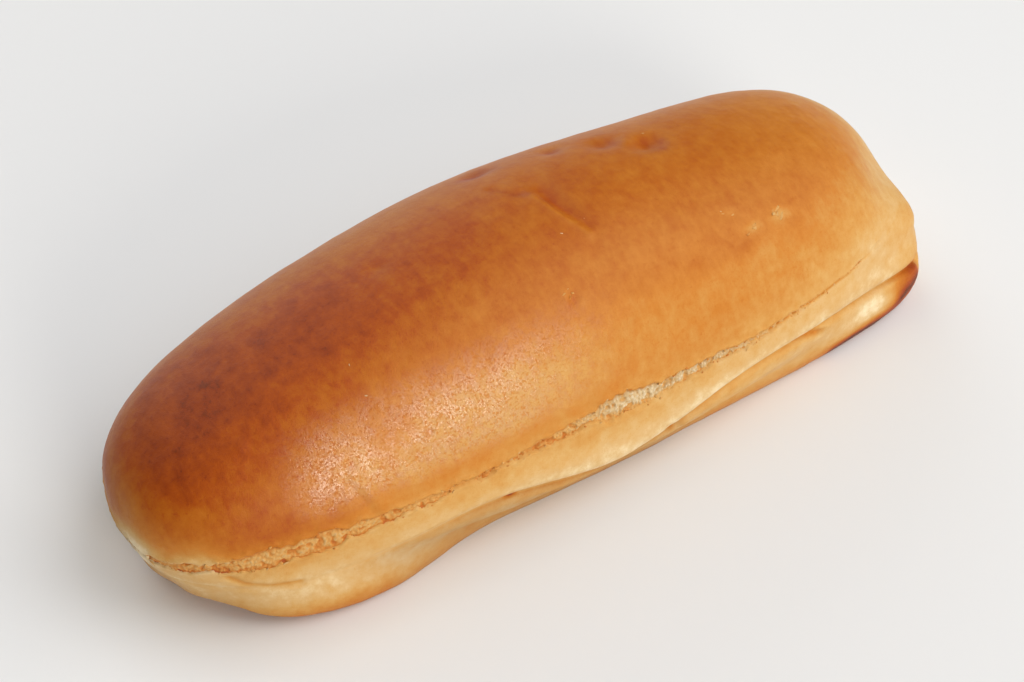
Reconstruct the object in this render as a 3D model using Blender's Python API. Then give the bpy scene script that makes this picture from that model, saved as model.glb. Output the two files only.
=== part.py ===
"""Brioche hot dog bun: one solid piece of bread, lying on its flat baked sole.

X runs along the bun. Its dark, lifted end points to -X and its blunt end to +X.
The side that tore open in the oven, called the front, faces -Y.

The form is walked in columns that stand side by side all round the bun. Each column starts
on the sole's edge, rounds the foot, swells out to the girth, where the bun is widest, and goes
on over the crown to the crest. The rows are laid along every column so that one follows the
tear and one follows the crease over the foot. Relief then moves the points in or out.

Stations are evenly spaced values from the -X end to the +X end.
"""

import bpy
import numpy as np

MM = 0.001

# --- Plan of the girth, the widest level
LENGTH = 175 * MM
FRONT_HALF_WIDTHS = np.array([30.2, 30.5, 31, 32, 32.5, 32, 31.2]) * MM
BACK_HALF_WIDTHS = np.array([36.3, 34.3, 34.3, 30.5, 32.5]) * MM
GIRTH_HEIGHTS = np.array([20, 9.5, 16.5]) * MM
# Exponents of the rounded ends and sections: 2 is an ellipse, and more is boxier.
NEAR_END_FULLNESS, FAR_END_FULLNESS = 2.45, 3.3

# --- Crown
CREST_HEIGHTS = np.array([48, 48, 48.3, 45.5, 46]) * MM
CROWN_FULLNESS = 2.2
NEAR_CREST_FULLNESS, FAR_CREST_FULLNESS = 2.2, 2.4

# --- Foot, the rounded lower edge, and the flat sole inside it
FOOT_HEIGHT = 5 * MM
FOOT_NEAR_END, FOOT_FAR_END = -84 * MM, 88 * MM
FOOT_FRONT_HALF_WIDTHS = np.array([33, 32, 26, 27.5, 28.8, 30, 31.5]) * MM
FOOT_BACK_HALF_WIDTHS = np.array([29, 29, 29]) * MM
NEAR_FOOT_FULLNESS, FAR_FOOT_FULLNESS = 2.5, 5.5
SOLE_WIDTH_SHARE = 0.92
# The near end curls up off the tray, so the sole stops well short of it.
SOLE_NEAR_INSET, SOLE_FAR_INSET, SOLE_INSET_SHARPNESS = 14 * MM, 1.5 * MM, 3

# --- Tear: the ragged split where the crown lifted off the pale band
FRONT_TEAR_HEIGHTS = np.array([19.5, 20.8, 22, 23, 21.3, 21.3, 22]) * MM
BACK_TEAR_HEIGHTS = np.array([19.5, 20.5, 21, 22, 22]) * MM
FRONT_TEAR_HALF_GAPS = np.array([1.0, 1.1, 0.9, 0.8, 1.5, 1.2, 0.6, 0.3, 0.1]) * MM
BACK_TEAR_HALF_GAPS = np.array([1.0, 0.7, 0.8, 0.5, 0.1]) * MM
TEAR_DEPTH_PER_GAP = 0.75
LIP_RISE = 0.25 * MM

# --- Crease: the fold where the pale band sags over the foot
FRONT_CREASE_HEIGHTS = np.array([12, 12, 13, 11, 15, 12.5, 7]) * MM
BACK_CREASE_HEIGHTS = np.array([12, 11, 10, 12, 7]) * MM
FRONT_CREASE_DEPTHS = np.array([0.4, 0.2, 0.7, 0.9, 0.9, 0.9, 1.8]) * MM
BACK_CREASE_DEPTHS = np.array([0.4, 0.4, 0.5, 0.5, 1.8]) * MM
CREASE_REACH = 1.1 * MM
BAND_SAG_SHARE, BAND_SAG_REACH = 0.7, 3.2 * MM

# --- Soft marks: place on the smooth form, reach along X, reach across, rise (a dent is negative)
SOFT_MARKS = {
    "dent in the far shoulder": (79, -14, 26, 9, 9, -2.6),
    "lifted corner of the near end": (-77, -12.5, 3, 9, 8, -2.7),
    "swelling of the far end": (82, -20, 17, 9, 7, 2.2),
    "deep dimple on the crest": (33, 5, 44.5, 3.6, 2.6, -1.0),
    "middle dimple on the crest": (26, 10, 44.5, 3.2, 2.6, -0.8),
    "small dimple on the crest": (17.5, 14.5, 44, 2.6, 2.4, -0.5),
    "hollow on the back slope": (8, 28, 33, 6.0, 4.0, -0.9),
    "wrinkle across the crest": (6.5, -2, 47.8, 2.2, 11.0, -0.5),
    "hollow above the tear": (-30, -28, 27, 14, 3.5, -0.5),
}

# --- Grid of the solid
HALF_COLUMNS = 78
FOOT_ROWS, BAND_ROWS, CROWN_ROWS = 4, 4, 17
CREASE_OFFSETS = np.array([-1.0, 0, 1.0]) * MM
TEAR_OFFSETS = np.array([-1.9, -0.8, 0, 0.8, 1.9]) * MM
CREST_LINE_SHARE = 0.72
WALK_STEPS = 120

CRUST_COLOUR, CRUST_ROUGHNESS = (0.56, 0.24, 0.055, 1), 0.38


def along(stations, s):
    """Smooth value at s, from -1 at the near end to +1 at the far end, through the stations."""
    ends = [2 * stations[0] - stations[1]], [2 * stations[-1] - stations[-2]]
    values = np.concatenate([ends[0], stations, ends[1]])
    place = (np.clip(s, -1, 1) + 1) / 2 * (len(stations) - 1)
    i = np.minimum(place.astype(int), len(stations) - 2)
    t = place - i
    a, b, c, d = values[i], values[i + 1], values[i + 2], values[i + 3]
    return b + 0.5 * t * (c - a + t * (2 * a - 5 * b + 4 * c - d + t * (3 * (b - c) + d - a)))


def rounded_end_curve(u, near_fullness, far_fullness):
    """Lamé curve at the angle u: its share of the half length, and its share of the half width."""
    fullness = np.where(np.cos(u) < 0, near_fullness, far_fullness)
    s = np.sign(np.cos(u)) * np.abs(np.cos(u)) ** (2 / fullness)
    return s, np.abs(np.sin(u)) ** (2 / fullness)


def half_width(s, front):
    return np.where(front, along(FRONT_HALF_WIDTHS, s), along(BACK_HALF_WIDTHS, s))


def girth_outline(u):
    s, share = rounded_end_curve(u, NEAR_END_FULLNESS, FAR_END_FULLNESS)
    front = np.sin(u) < 0
    return s * LENGTH / 2, np.where(front, -1, 1) * half_width(s, front) * share


def foot_outline(u):
    s, share = rounded_end_curve(u, NEAR_FOOT_FULLNESS, FAR_FOOT_FULLNESS)
    x = np.where(s < 0, -s * FOOT_NEAR_END, s * FOOT_FAR_END)
    front_y = -along(FOOT_FRONT_HALF_WIDTHS, s) * share
    return x, np.where(np.sin(u) < 0, front_y, along(FOOT_BACK_HALF_WIDTHS, s) * share)


def evenly_spaced_angles(outline, side):
    """Angles of the columns on one side (-1 front, +1 back), from the far tip to the near tip."""
    u = np.linspace(0, side * np.pi, 2000)
    x, y = outline(u)
    run = np.concatenate([[0], np.cumsum(np.hypot(np.diff(x), np.diff(y)))])
    return np.interp(np.linspace(0, run[-1], HALF_COLUMNS + 1), run, u)


def plan_levels():
    """Plan points (xy, column) of the sole's edge, the foot and the girth, column by column."""
    girth_angles = evenly_spaced_angles(girth_outline, 1)
    # Front and back columns stand opposite each other, because they meet on the crest line.
    u = np.concatenate([girth_angles, -girth_angles[-2:0:-1]])
    foot_back, foot_front = (evenly_spaced_angles(foot_outline, side) for side in (1, -1))
    foot = np.array(foot_outline(np.concatenate([foot_back, foot_front[-2:0:-1]])))
    s = foot[0] / (LENGTH / 2)
    near_inset = SOLE_NEAR_INSET * np.maximum(-s, 0) ** SOLE_INSET_SHARPNESS
    far_inset = SOLE_FAR_INSET * np.maximum(s, 0) ** SOLE_INSET_SHARPNESS
    sole = np.array([foot[0] + near_inset - far_inset, foot[1] * SOLE_WIDTH_SHARE])
    return sole, foot, np.array(girth_outline(u))


def crown_height(x, y):
    """Height of the smooth crown over the plan point (x, y)."""
    s = np.clip(x / (LENGTH / 2), -1, 1)
    near = s < 0
    fullness = np.where(near, NEAR_END_FULLNESS, FAR_END_FULLNESS)
    chord = half_width(s, y < 0) * (1 - np.abs(s) ** fullness) ** (1 / fullness)
    across = np.minimum(np.abs(y) / np.maximum(chord, 1e-9), 1)
    crest_fullness = np.where(near, NEAR_CREST_FULLNESS, FAR_CREST_FULLNESS)
    end_drop = (1 - np.abs(s) ** crest_fullness) ** (1 / crest_fullness)
    side_drop = (1 - across**CROWN_FULLNESS) ** (1 / CROWN_FULLNESS)
    girth = along(GIRTH_HEIGHTS, s)
    return girth + (along(CREST_HEIGHTS, s) - girth) * end_drop * side_drop


def column_walk(sole, foot, girth):
    """Points of every column from the sole's edge to the crest line: an array (step, column, xyz)."""
    girth_height = along(GIRTH_HEIGHTS, girth[0] / (LENGTH / 2))
    level_height = np.ones_like(girth_height)
    steps = []
    for angle in np.linspace(0, np.pi / 2, WALK_STEPS, endpoint=False):
        plan = sole + (foot - sole) * np.sin(angle)
        steps.append([*plan, level_height * FOOT_HEIGHT * (1 - np.cos(angle))])
    for share in np.linspace(0, 1, WALK_STEPS, endpoint=False):
        plan = foot + (girth - foot) * share**2 * (3 - 2 * share)
        steps.append([*plan, FOOT_HEIGHT + (girth_height - FOOT_HEIGHT) * share])
    for angle in np.linspace(0, np.pi / 2, WALK_STEPS):
        share = np.cos(angle) ** (2 / CROWN_FULLNESS)
        x = girth[0] * (CREST_LINE_SHARE + (1 - CREST_LINE_SHARE) * share)
        y = girth[1] * share
        steps.append([x, y, crown_height(x, y)])
    return np.array(steps).transpose(0, 2, 1)


def distance_at_height(walk, distances, heights):
    """How far along each column its walk first reaches the given height."""
    return np.array([
        np.interp(height, np.maximum.accumulate(walk[:, i, 2]), distances[:, i])
        for i, height in enumerate(heights)
    ])


def edge_levels(girth):
    """For each column: heights of crease and tear, and how deep and how wide they are there."""
    s, front = girth[0] / (LENGTH / 2), girth[1] < 0
    pairs = (
        (FRONT_CREASE_HEIGHTS, BACK_CREASE_HEIGHTS),
        (FRONT_TEAR_HEIGHTS, BACK_TEAR_HEIGHTS),
        (FRONT_CREASE_DEPTHS, BACK_CREASE_DEPTHS),
        (FRONT_TEAR_HALF_GAPS, BACK_TEAR_HALF_GAPS),
    )
    return [np.where(front, along(f, s), along(b, s)) for f, b in pairs]


def row_distances(crease, tear, end):
    """Where the rows lie along the columns: close together at the crease and at the tear."""
    low, high = CREASE_OFFSETS[0], CREASE_OFFSETS[-1]
    foot = [share * (crease + low) for share in np.arange(FOOT_ROWS) / FOOT_ROWS]
    band_from, band_to = crease + high, tear + TEAR_OFFSETS[0]
    band_shares = np.arange(1, BAND_ROWS) / BAND_ROWS
    band = [band_from + (band_to - band_from) * share for share in band_shares]
    crown_from = tear + TEAR_OFFSETS[-1]
    crown_shares = (np.arange(1, CROWN_ROWS + 1) / CROWN_ROWS) ** 1.15
    crown = [crown_from + (end - crown_from) * share for share in crown_shares]
    at_crease = [crease + offset for offset in CREASE_OFFSETS]
    at_tear = [tear + offset for offset in TEAR_OFFSETS]
    return np.array(foot + at_crease + band + at_tear + crown)


def outward_normals(grid):
    """Unit normals of the grid (row, column, xyz), whose columns go right round the bun."""
    round_ = np.roll(grid, -1, axis=1) - np.roll(grid, 1, axis=1)
    up = np.gradient(grid, axis=0)
    normals = np.cross(round_, up)
    return normals / np.maximum(np.linalg.norm(normals, axis=-1, keepdims=True), 1e-12)


def crease_relief(above, depth):
    """Notch at the crease, with the pale band sagging out just above it."""
    notch = -depth * np.exp(-((above / CREASE_REACH) ** 2))
    sag = BAND_SAG_SHARE * depth * np.exp(-(((above - BAND_SAG_REACH) / BAND_SAG_REACH) ** 2))
    return notch + sag


def tear_relief(above, half_gap):
    """Sunken crumb in the gap, and the lifted lip of the crust over it."""
    floor = -TEAR_DEPTH_PER_GAP * half_gap * np.exp(-((above / half_gap) ** 4))
    lip = LIP_RISE * np.exp(-(((above - 1.8 * half_gap) / half_gap) ** 2))
    return floor + lip * np.minimum(half_gap / MM, 1)


def soft_mark_relief(points):
    total = np.zeros(points.shape[:-1])
    for x, y, z, reach_x, reach_across, rise in SOFT_MARKS.values():
        away = (points - np.array([x, y, z]) * MM) / MM
        lengthways = (away[..., 0] / reach_x) ** 2
        across = (away[..., 1] ** 2 + away[..., 2] ** 2) / reach_across**2
        total += rise * MM * np.exp(-lengthways - across)
    return total


def bun_grid():
    """Finished points (row, column, xyz), from the sole's edge up to the crest line."""
    sole, foot, girth = plan_levels()
    walk = column_walk(sole, foot, girth)
    strides = np.linalg.norm(np.diff(walk, axis=0), axis=-1)
    distances = np.concatenate([np.zeros((1, len(girth[0]))), np.cumsum(strides, axis=0)])
    crease_height, tear_height, crease_depth, half_gap = edge_levels(girth)
    crease = distance_at_height(walk, distances, crease_height)
    tear = distance_at_height(walk, distances, tear_height)
    rows = row_distances(crease, tear, distances[-1])
    grid = np.empty(rows.shape + (3,))
    for i in range(rows.shape[1]):
        for axis in range(3):
            grid[:, i, axis] = np.interp(rows[:, i], distances[:, i], walk[:, i, axis])
    relief = crease_relief(rows - crease, crease_depth)
    relief += tear_relief(rows - tear, half_gap)
    relief += soft_mark_relief(grid)
    relief[0] = 0
    return grid + outward_normals(grid) * relief[..., None]


def bun_mesh():
    """Closed mesh: the walls and crown in quads, the flat sole as one face."""
    grid = bun_grid()
    rows, columns = grid.shape[:2]
    crest_row = rows - 1
    # Front and back columns of the same X meet on the crest line, where they share a point.
    index = np.arange(rows * columns).reshape(rows, columns)
    for i in range(1, HALF_COLUMNS):
        grid[crest_row, i] = (grid[crest_row, i] + grid[crest_row, -i]) / 2
        index[crest_row, -i] = index[crest_row, i]
    faces = [tuple(index[0, ::-1])]
    for j in range(crest_row):
        for i in range(columns):
            after = (i + 1) % columns
            faces.append((index[j, i], index[j, after], index[j + 1, after], index[j + 1, i]))
    used, faces_flat = np.unique(np.concatenate(faces), return_inverse=True)
    points = grid.reshape(-1, 3)[used]
    low, high = points.min(axis=0), points.max(axis=0)
    points = points - [(low[0] + high[0]) / 2, (low[1] + high[1]) / 2, low[2]]
    ends = np.cumsum([len(face) for face in faces])[:-1]
    mesh = bpy.data.meshes.new("bun")
    mesh.from_pydata(points.tolist(), [], [f.tolist() for f in np.split(faces_flat, ends)])
    mesh.validate()
    return mesh


def crust_material():
    material = bpy.data.materials.new("baked brioche crust")
    material.use_nodes = True
    shader = material.node_tree.nodes["Principled BSDF"]
    shader.inputs["Base Color"].default_value = CRUST_COLOUR
    shader.inputs["Roughness"].default_value = CRUST_ROUGHNESS
    shader.inputs["Metallic"].default_value = 0
    return material


def main():
    for obj in list(bpy.data.objects):
        bpy.data.objects.remove(obj)
    mesh = bun_mesh()
    mesh.materials.append(crust_material())
    mesh.shade_smooth()
    mesh.set_sharp_from_angle(angle=np.radians(50))
    bpy.context.collection.objects.link(bpy.data.objects.new("bun", mesh))


main()
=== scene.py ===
# %% [markdown]
# # A brioche hot dog bun, from dough to crust
#
# The real thing is one piece of enriched dough. It was washed with egg, which browned to a glossy
# crown. In the oven the crown set first, and the dough under it went on rising, so the side tore
# open along a ragged line and showed pale crumb. The lower edge folded over the foot that baked on
# the tray.
#
# The frame holds the bun as one solid. This scene puts a finer mesh of the same form in its place,
# lays the open crumb in the tear, and gives every place its colour on one scale of baking.

# %% Tools and the fixed frame
import math

import bpy
import numpy as np
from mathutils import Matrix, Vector, noise


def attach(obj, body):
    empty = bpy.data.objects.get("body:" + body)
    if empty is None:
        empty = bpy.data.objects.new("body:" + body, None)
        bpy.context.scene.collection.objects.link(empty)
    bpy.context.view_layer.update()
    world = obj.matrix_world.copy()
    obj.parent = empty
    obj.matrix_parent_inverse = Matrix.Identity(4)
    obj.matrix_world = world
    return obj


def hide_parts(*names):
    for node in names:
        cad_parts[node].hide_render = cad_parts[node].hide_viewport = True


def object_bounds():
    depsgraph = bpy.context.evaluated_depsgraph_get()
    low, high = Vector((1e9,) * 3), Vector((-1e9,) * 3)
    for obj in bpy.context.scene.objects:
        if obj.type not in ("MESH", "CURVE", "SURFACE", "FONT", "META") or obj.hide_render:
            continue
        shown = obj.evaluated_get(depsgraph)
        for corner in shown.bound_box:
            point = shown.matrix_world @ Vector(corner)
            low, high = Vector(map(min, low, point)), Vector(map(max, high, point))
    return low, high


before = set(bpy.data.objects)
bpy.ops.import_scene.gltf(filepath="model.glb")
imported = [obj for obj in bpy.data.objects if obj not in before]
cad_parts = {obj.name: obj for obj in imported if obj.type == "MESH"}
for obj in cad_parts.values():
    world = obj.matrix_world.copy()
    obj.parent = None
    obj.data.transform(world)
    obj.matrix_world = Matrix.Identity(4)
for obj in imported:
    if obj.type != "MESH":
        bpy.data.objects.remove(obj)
cad_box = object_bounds()
MM = 0.001
print("the solid bun measures", [round(v / MM, 1) for v in cad_box[1] - cad_box[0]], "mm")

# %% [markdown]
# ## The form
#
# A loaf like this has no straight edge to start from. It could be sculpted from a stretched sphere,
# but then no number says how wide or how high it is anywhere. Here it is walked in columns instead:
# each one starts on the edge of the flat sole, rounds the foot, swells out to the girth and goes
# over the crown to the crest. The widths and heights along the bun are a few stations, evenly
# spaced from the dark end at -X to the blunt end at +X, with a smooth curve drawn through them.
# The loaf's widths and heights are those of the solid, so the fine mesh lies on it.

# %% Smooth curves through the stations
def along(stations, s):
    """Smooth value at s, from -1 at the dark end to +1 at the blunt end, through the stations."""
    ends = [2 * stations[0] - stations[1]], [2 * stations[-1] - stations[-2]]
    values = np.concatenate([ends[0], stations, ends[1]])
    place = (np.clip(s, -1, 1) + 1) / 2 * (len(stations) - 1)
    i = np.minimum(place.astype(int), len(stations) - 2)
    t = place - i
    a, b, c, d = values[i], values[i + 1], values[i + 2], values[i + 3]
    return b + 0.5 * t * (c - a + t * (2 * a - 5 * b + 4 * c - d + t * (3 * (b - c) + d - a)))


def smooth(low, high, value):
    """Soft step from 0 at low to 1 at high."""
    t = np.clip((value - low) / (high - low), 0, 1)
    return t * t * (3 - 2 * t)


def hump(value, reach):
    """Bell curve: 1 at zero, and nearly gone at twice the reach."""
    return np.exp(-((value / reach) ** 2))


def blend(first, second, share):
    """Value this share of the way from the first to the second."""
    return first + (second - first) * share


print("halfway up a step:", smooth(0, 1, 0.5), "and one reach off a hump:", hump(1, 1).round(2))

# %% Widths of the loaf and of its foot
LENGTH = 175 * MM
FRONT_HALF_WIDTHS = np.array([30.2, 30.5, 31, 32, 32.5, 32, 31.2]) * MM
BACK_HALF_WIDTHS = np.array([36.3, 34.3, 34.3, 30.5, 32.5]) * MM
NEAR_END_FULLNESS, FAR_END_FULLNESS = 2.45, 3.3

FOOT_NEAR_END, FOOT_FAR_END = -84 * MM, 88 * MM
FOOT_FRONT_HALF_WIDTHS = np.array([33, 32, 26, 27.5, 28.8, 30, 31.5]) * MM
FOOT_BACK_HALF_WIDTHS = np.array([29, 29, 29]) * MM
NEAR_FOOT_FULLNESS, FAR_FOOT_FULLNESS = 2.5, 5.5
print("front half widths in mm: loaf", FRONT_HALF_WIDTHS / MM, "foot", FOOT_FRONT_HALF_WIDTHS / MM)

# %% Outlines of the girth and of the foot
OUTLINE_SAMPLES = 4000


def rounded_end_curve(u, near_fullness, far_fullness):
    """Superellipse at the angle u: its shares of the half length and of the half width."""
    fullness = np.where(np.cos(u) < 0, near_fullness, far_fullness)
    s = np.sign(np.cos(u)) * np.abs(np.cos(u)) ** (2 / fullness)
    return s, np.abs(np.sin(u)) ** (2 / fullness)


def half_width(s, front):
    return np.where(front, along(FRONT_HALF_WIDTHS, s), along(BACK_HALF_WIDTHS, s))


def girth_outline(u):
    s, share = rounded_end_curve(u, NEAR_END_FULLNESS, FAR_END_FULLNESS)
    front = np.sin(u) < 0
    return s * LENGTH / 2, np.where(front, -1, 1) * half_width(s, front) * share


def foot_outline(u):
    s, share = rounded_end_curve(u, NEAR_FOOT_FULLNESS, FAR_FOOT_FULLNESS)
    x = np.where(s < 0, -s * FOOT_NEAR_END, s * FOOT_FAR_END)
    front_y = -along(FOOT_FRONT_HALF_WIDTHS, s) * share
    return x, np.where(np.sin(u) < 0, front_y, along(FOOT_BACK_HALF_WIDTHS, s) * share)


def angles_at(outline, side, shares):
    """Angles at these shares of a side, -1 front or +1 back, from the blunt to the dark tip."""
    u = np.linspace(0, side * np.pi, OUTLINE_SAMPLES)
    x, y = outline(u)
    run = np.concatenate([[0], np.cumsum(np.hypot(np.diff(x), np.diff(y)))])
    return np.interp(np.asarray(shares) * run[-1], run, u)


print("outlines are sampled at", OUTLINE_SAMPLES, "angles")

# %% Height of the crown
GIRTH_HEIGHTS = np.array([20, 9.5, 16.5]) * MM
CREST_HEIGHTS = np.array([48, 48, 48.3, 45.5, 46]) * MM
CROWN_FULLNESS = 2.2
NEAR_CREST_FULLNESS, FAR_CREST_FULLNESS = 2.2, 2.4
TINY = 1e-9


def crown_height(x, y):
    """Height of the smooth crown over the plan point (x, y)."""
    s = np.clip(x / (LENGTH / 2), -1, 1)
    near = s < 0
    fullness = np.where(near, NEAR_END_FULLNESS, FAR_END_FULLNESS)
    chord = half_width(s, y < 0) * (1 - np.abs(s) ** fullness) ** (1 / fullness)
    across = np.minimum(np.abs(y) / np.maximum(chord, TINY), 1)
    crest_fullness = np.where(near, NEAR_CREST_FULLNESS, FAR_CREST_FULLNESS)
    end_drop = (1 - np.abs(s) ** crest_fullness) ** (1 / crest_fullness)
    side_drop = (1 - across**CROWN_FULLNESS) ** (1 / CROWN_FULLNESS)
    girth = along(GIRTH_HEIGHTS, s)
    return girth + (along(CREST_HEIGHTS, s) - girth) * end_drop * side_drop


middle_height = crown_height(np.zeros(1), np.zeros(1))[0]
print("the smooth crown is", round(middle_height / MM, 1), "mm high in the middle")

# %% The walk up one column: round the foot, up the side, over the crown
WALK_STEPS = 120
FOOT_HEIGHT = 5 * MM
CREST_LINE_SHARE = 0.72


def column_walk(sole, foot, girth):
    """Every column's points, from the sole's edge to the crest: an array (step, column, xyz)."""
    girth_height = along(GIRTH_HEIGHTS, girth[0] / (LENGTH / 2))
    level_height = np.ones_like(girth_height)
    steps = []
    for angle in np.linspace(0, np.pi / 2, WALK_STEPS, endpoint=False):
        plan = sole + (foot - sole) * np.sin(angle)
        steps.append([*plan, level_height * FOOT_HEIGHT * (1 - np.cos(angle))])
    for share in np.linspace(0, 1, WALK_STEPS, endpoint=False):
        plan = foot + (girth - foot) * share**2 * (3 - 2 * share)
        steps.append([*plan, FOOT_HEIGHT + (girth_height - FOOT_HEIGHT) * share])
    for angle in np.linspace(0, np.pi / 2, WALK_STEPS):
        share = np.cos(angle) ** (2 / CROWN_FULLNESS)
        x = girth[0] * (CREST_LINE_SHARE + (1 - CREST_LINE_SHARE) * share)
        y = girth[1] * share
        steps.append([x, y, crown_height(x, y)])
    return np.array(steps).transpose(0, 2, 1)


print("each column is walked in", 3 * WALK_STEPS, "steps")

# %% [markdown]
# ## The tear and the crease
#
# Two lines run round the loaf: the tear, where the side split in the oven, and the crease, where
# the band above sags over the foot. They could be cut in later with booleans, or sculpted. Here
# every column is told at which height each line crosses it, so that rows of points can follow both.
# In front, both lines keep closer to the real ones than the solid's wide grid can, and run up to
# about 2 mm off its lines.

# %% Heights of both lines, and how far the sole draws in
FRONT_TEAR_HEIGHTS = np.array([17.5, 20.8, 22, 23, 21.3, 21.3, 22]) * MM
BACK_TEAR_HEIGHTS = np.array([17.5, 20.5, 21, 22, 22]) * MM
FRONT_CREASE_HEIGHTS = np.array([12, 12, 14.2, 8.9, 14, 12.4, 6]) * MM
BACK_CREASE_HEIGHTS = np.array([12, 11, 10, 12, 7]) * MM
SOLE_WIDTH_SHARE = 0.92
SOLE_NEAR_INSET, SOLE_FAR_INSET, SOLE_INSET_SHARPNESS = 14 * MM, 1.5 * MM, 3
print("tear and crease in front, mm up:", FRONT_TEAR_HEIGHTS / MM, FRONT_CREASE_HEIGHTS / MM)

# %% Columns with their tear and their crease
class Columns:
    """Columns of the smooth loaf, with where the crease and the tear cross each one."""

    def __init__(self, back_shares, front_shares):
        back = angles_at(girth_outline, 1, back_shares)
        front = -angles_at(girth_outline, 1, front_shares)
        girth = np.array(girth_outline(np.concatenate([back, front])))
        back = angles_at(foot_outline, 1, back_shares)
        front = angles_at(foot_outline, -1, front_shares)
        foot = np.array(foot_outline(np.concatenate([back, front])))
        s = foot[0] / (LENGTH / 2)
        near_inset = SOLE_NEAR_INSET * np.maximum(-s, 0) ** SOLE_INSET_SHARPNESS
        far_inset = SOLE_FAR_INSET * np.maximum(s, 0) ** SOLE_INSET_SHARPNESS
        sole = np.array([foot[0] + near_inset - far_inset, foot[1] * SOLE_WIDTH_SHARE])
        self.walk = column_walk(sole, foot, girth)
        strides = np.linalg.norm(np.diff(self.walk, axis=0), axis=-1)
        start = np.zeros((1, strides.shape[1]))
        self.distances = np.concatenate([start, np.cumsum(strides, axis=0)])
        self.s, self.front = girth[0] / (LENGTH / 2), girth[1] < 0
        self.crease = self.distance_at(self.pick(FRONT_CREASE_HEIGHTS, BACK_CREASE_HEIGHTS))
        self.tear = self.distance_at(self.pick(FRONT_TEAR_HEIGHTS, BACK_TEAR_HEIGHTS))
        self.end = self.distances[-1]

    def pick(self, front, back):
        """Station values of each column's own side."""
        return np.where(self.front, along(front, self.s), along(back, self.s))

    def distance_at(self, heights):
        """How far along each column its walk first reaches the given height."""
        climbs = np.maximum.accumulate(self.walk[:, :, 2], axis=0)
        pairs = enumerate(heights)
        return np.array([np.interp(h, climbs[:, i], self.distances[:, i]) for i, h in pairs])

    def points(self, rows):
        """Smooth form's points (row, column, xyz) at these distances along the columns."""
        grid = np.empty(rows.shape + (3,))
        for i in range(rows.shape[1]):
            row, known = rows[:, i], self.distances[:, i]
            for axis in range(3):
                grid[:, i, axis] = np.interp(row, known, self.walk[:, i, axis])
        return grid


sample = Columns(np.array([0.5]), np.array([0.5]))
band_widths = ((sample.tear - sample.crease) / MM).round(1)
print("halfway along, the band is", band_widths, "mm wide on the back and the front")

# %% [markdown]
# ## The fine grid
#
# The front is the side that tore open, and the one that people look at, so it gets two columns for
# each one on the back. Rows crowd together at the tear and at the crease. That spends the triangles
# where the crust is ragged, which one even remesh of the whole loaf couldn't do.

# %% Rows and columns of the crust
BACK_COLUMNS = 240
FRONT_COLUMNS = 2 * BACK_COLUMNS
FOOT_ROWS, BAND_ROWS, CROWN_ROWS = 8, 10, 78
CROWN_ROW_CROWDING = 1.1
CREASE_OFFSETS = np.linspace(-1.6, 1.6, 9) * MM
TEAR_OFFSETS = np.linspace(-2.4, 2.4, 29) * MM


def crust_rows(columns):
    """Distances of the crust's rows along every column."""
    crease, tear, end = columns.crease, columns.tear, columns.end
    foot = [share * (crease + CREASE_OFFSETS[0]) for share in np.arange(FOOT_ROWS) / FOOT_ROWS]
    band_from, band_to = crease + CREASE_OFFSETS[-1], tear + TEAR_OFFSETS[0]
    band = [blend(band_from, band_to, k / BAND_ROWS) for k in range(1, BAND_ROWS)]
    shares = (np.arange(1, CROWN_ROWS + 1) / CROWN_ROWS) ** CROWN_ROW_CROWDING
    crown = [blend(tear + TEAR_OFFSETS[-1], end, share) for share in shares]
    at_crease = [crease + offset for offset in CREASE_OFFSETS]
    at_tear = [tear + offset for offset in TEAR_OFFSETS]
    return np.array(foot + at_crease + band + at_tear + crown)


back_shares = np.arange(BACK_COLUMNS + 1) / BACK_COLUMNS
front_shares = np.arange(FRONT_COLUMNS - 1, 0, -1) / FRONT_COLUMNS
columns = Columns(back_shares, front_shares)
rows = crust_rows(columns)
above_crease, above_tear = rows - columns.crease, rows - columns.tear
print("the crust's grid has", rows.shape[0], "rows and", rows.shape[1], "columns")

# %% [markdown]
# ## Relief
#
# Baked dough is never even. Noise of several sizes gives the swells under the skin, and the marks
# that can be pointed at on this bun are listed one by one: a place, how far each reaches, and how
# high. They are moved along the form's normals, so that they are real shape and not paint.

# %% Noise on the surface
def ripple(points, size, shift=0.0):
    """Soft noise between about -1 and 1, with bumps of this size."""
    flat = (points.reshape(-1, 3) / size + shift).tolist()
    return np.array([noise.noise(p) for p in flat]).reshape(points.shape[:-1])


def ripples(points, layers):
    """Sum of layers of noise. Each one has its strength, its size in millimetres and its shift."""
    return sum(strength * ripple(points, size * MM, shift) for strength, size, shift in layers)


swings = ripple(np.linspace([0, 0, 0], [LENGTH, 0, 0], 500), 5 * MM)
print("over the length, 5 mm ripples run from", swings.min().round(2), "to", swings.max().round(2))

# %% Soft marks of the form: place on it, reach along X, reach across, rise
SOFT_MARKS = {
    "dent in the far shoulder": (79, -14, 26, 9, 9, -2.6),
    "lifted corner of the dark end": (-77, -12.5, 3, 9, 8, -2.7),
    "swelling of the far end": (82, -20, 17, 9, 7, 2.2),
    "deep dimple on the crest": (33, 5, 44.5, 3.6, 2.6, -1.0),
    "middle dimple on the crest": (26, 10, 44.5, 3.2, 2.6, -0.8),
    "small dimple on the crest": (17.5, 14.5, 44, 2.6, 2.4, -0.5),
    "hollow on the back slope": (8, 28, 33, 6.0, 4.0, -0.9),
    "wrinkle across the crest": (6.5, -2, 47.8, 2.2, 11.0, -0.5),
    "hollow above the tear": (-30, -28, 27, 14, 3.5, -0.5),
}


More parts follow.
